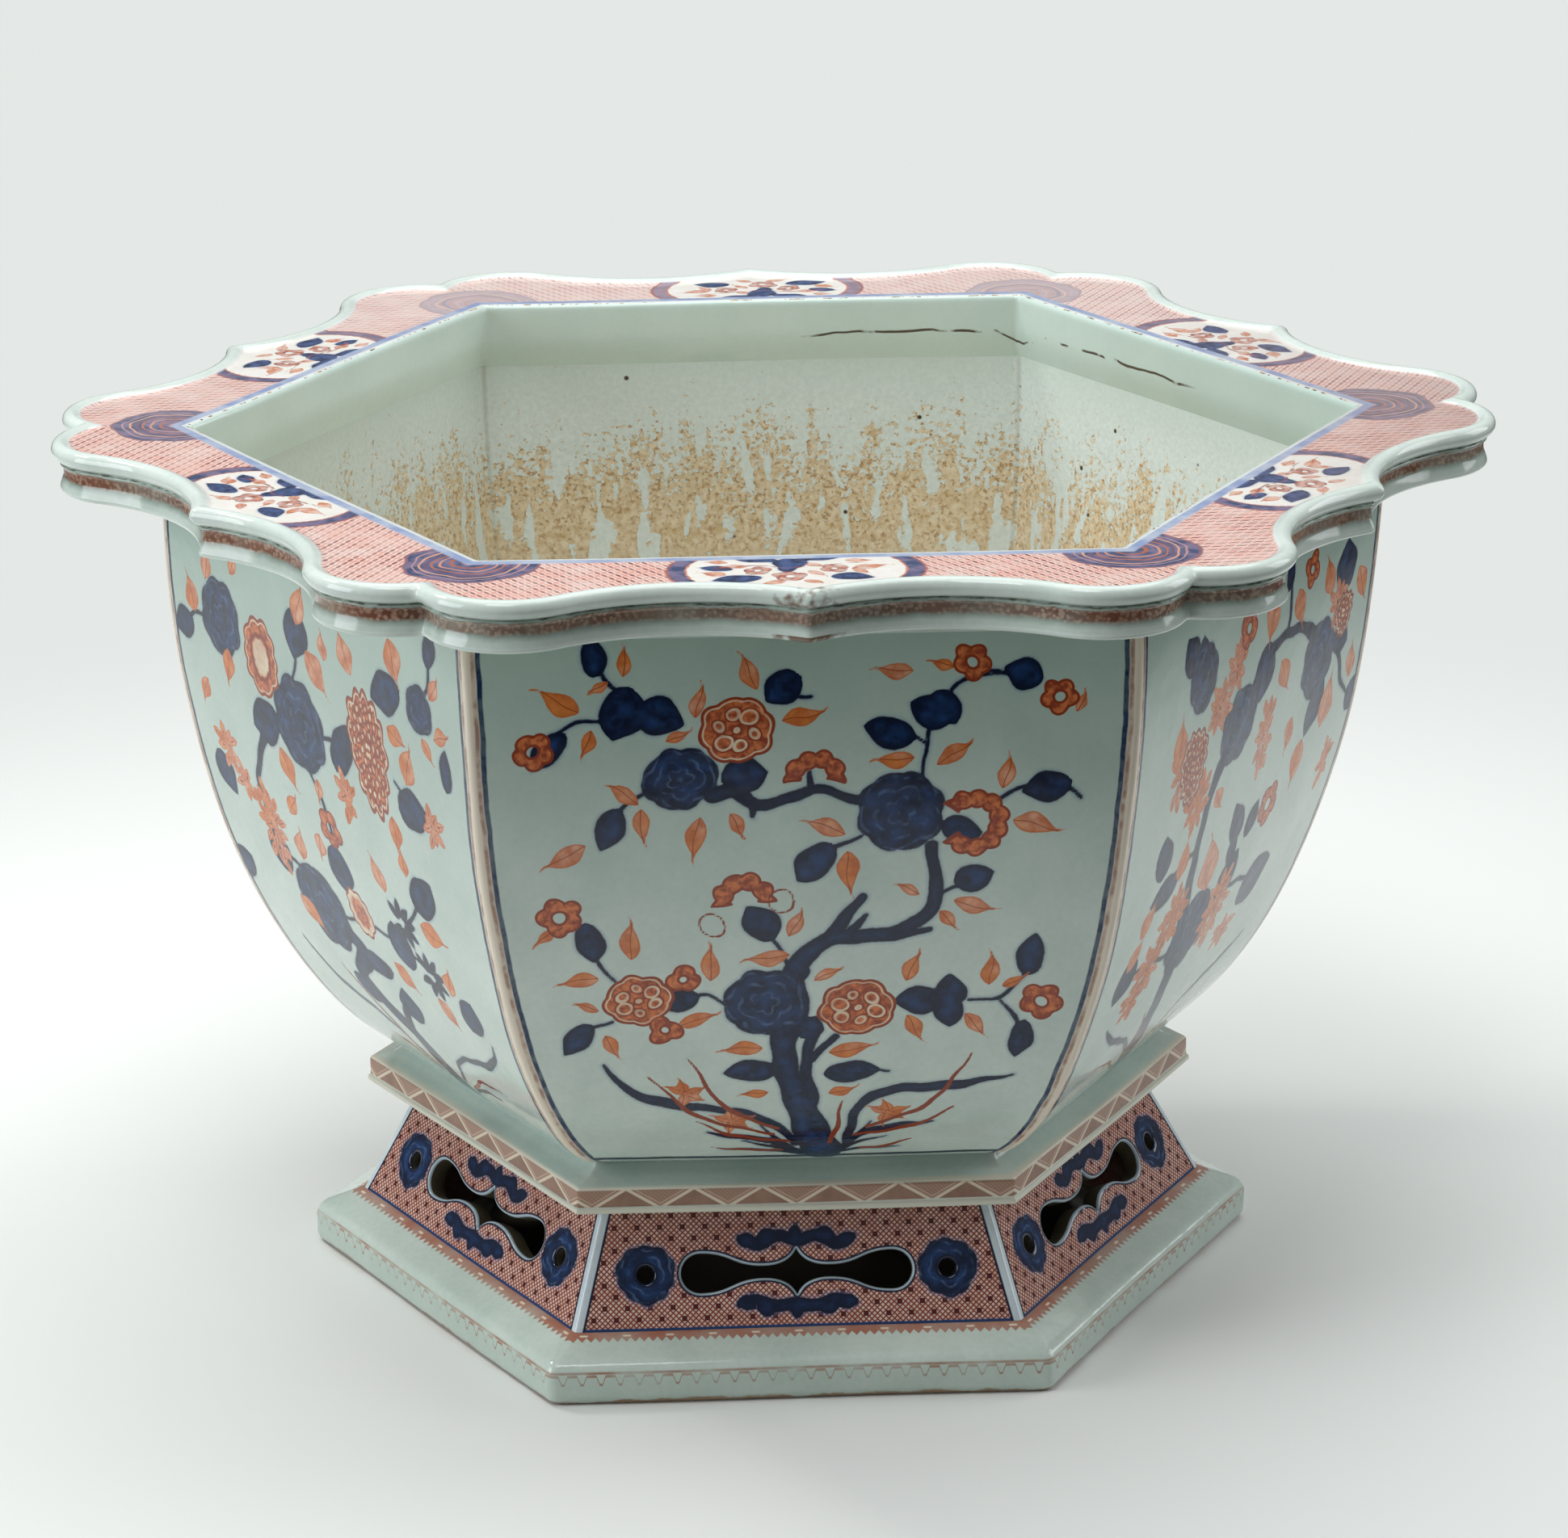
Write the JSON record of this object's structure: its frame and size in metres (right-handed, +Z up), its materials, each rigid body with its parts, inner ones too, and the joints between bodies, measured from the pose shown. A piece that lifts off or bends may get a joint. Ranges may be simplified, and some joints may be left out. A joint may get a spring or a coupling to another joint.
{
  "type": "hexagonal porcelain jardiniere",
  "caption": "Deep hexagonal porcelain bowl with a wide lobed and moulded rim, on a stepped ledge, a sloping pierced foot and a flat plinth; holds plants, earth or a display.",
  "frame": {"origin": "on the ground, under the middle of the plinth", "axes": "+Z up; +X towards a corner, along the bowl's greatest width; -Y is the outward direction of side 1, the front"},
  "size_m": [0.5774, 0.533, 0.3582],
  "materials": {
    "body_glaze": "glossy clear glaze over hard porcelain, with underglaze blue, iron red and gold",
    "rim_enamel": "glossy glaze with a fine iron-red net and blue rosettes",
    "ledge_enamel": "glossy glaze with an iron-red band and a cream zigzag",
    "foot_enamel": "glossy glaze with an iron-red net, blue clouds and florets",
    "plinth_glaze": "glossy clear glaze, bare and brown at the ground",
    "biscuit": "unglazed fired clay with runs of glaze"
  },
  "bodies": {
    "root": {"floor_slab": "biscuit", "rim_section_1": "rim_enamel", "rim_section_2": "rim_enamel", "rim_section_3": "rim_enamel", "rim_section_4": "rim_enamel", "rim_section_5": "rim_enamel", "rim_section_6": "rim_enamel", "wall_slab_1": "body_glaze", "wall_slab_2": "body_glaze", "wall_slab_3": "body_glaze", "wall_slab_4": "body_glaze", "wall_slab_5": "body_glaze", "wall_slab_6": "body_glaze", "ledge_moulding_1": "ledge_enamel", "ledge_moulding_2": "ledge_enamel", "ledge_moulding_3": "ledge_enamel", "ledge_moulding_4": "ledge_enamel", "ledge_moulding_5": "ledge_enamel", "ledge_moulding_6": "ledge_enamel", "foot_panel_1": "foot_enamel", "foot_panel_2": "foot_enamel", "foot_panel_3": "foot_enamel", "foot_panel_4": "foot_enamel", "foot_panel_5": "foot_enamel", "foot_panel_6": "foot_enamel", "plinth_slab_1": "plinth_glaze", "plinth_slab_2": "plinth_glaze", "plinth_slab_3": "plinth_glaze", "plinth_slab_4": "plinth_glaze", "plinth_slab_5": "plinth_glaze", "plinth_slab_6": "plinth_glaze"}
  },
  "joints": []
}
